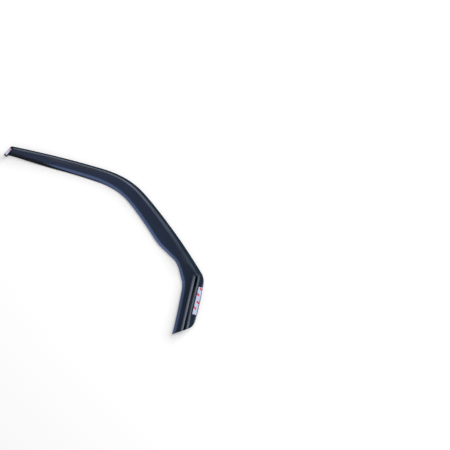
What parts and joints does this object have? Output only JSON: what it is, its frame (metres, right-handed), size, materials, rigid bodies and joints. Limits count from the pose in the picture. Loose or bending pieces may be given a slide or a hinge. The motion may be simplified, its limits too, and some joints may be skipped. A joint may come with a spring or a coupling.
{
  "type": "window rain deflector",
  "caption": "Smoked acrylic side-window rain deflector with a stepped flange, a lipped free edge, a ribbed foot and adhesive tape pads.",
  "frame": {"origin": "middle of the part seen from above, on the surface that the free edge's lip rests on", "axes": "+X along the roof arm towards the front of the car, +Y up the door from the foot to the roof arm, +Z from the outer face to the mounting side, away from the car's outside"},
  "size_m": [0.6718, 0.4464, 0.0233],
  "materials": {
    "smoked_acrylic": "polished dark smoked acrylic, nearly opaque",
    "tape_foam": "matt closed-cell adhesive foam",
    "tape_liner": "thin pale release liner"
  },
  "bodies": {
    "root": {"visor": "smoked_acrylic", "foot_tape_foam": "tape_foam", "foot_tape_liner": "tape_liner", "far_tape_foam": "tape_foam", "far_tape_liner": "tape_liner"}
  },
  "joints": []
}
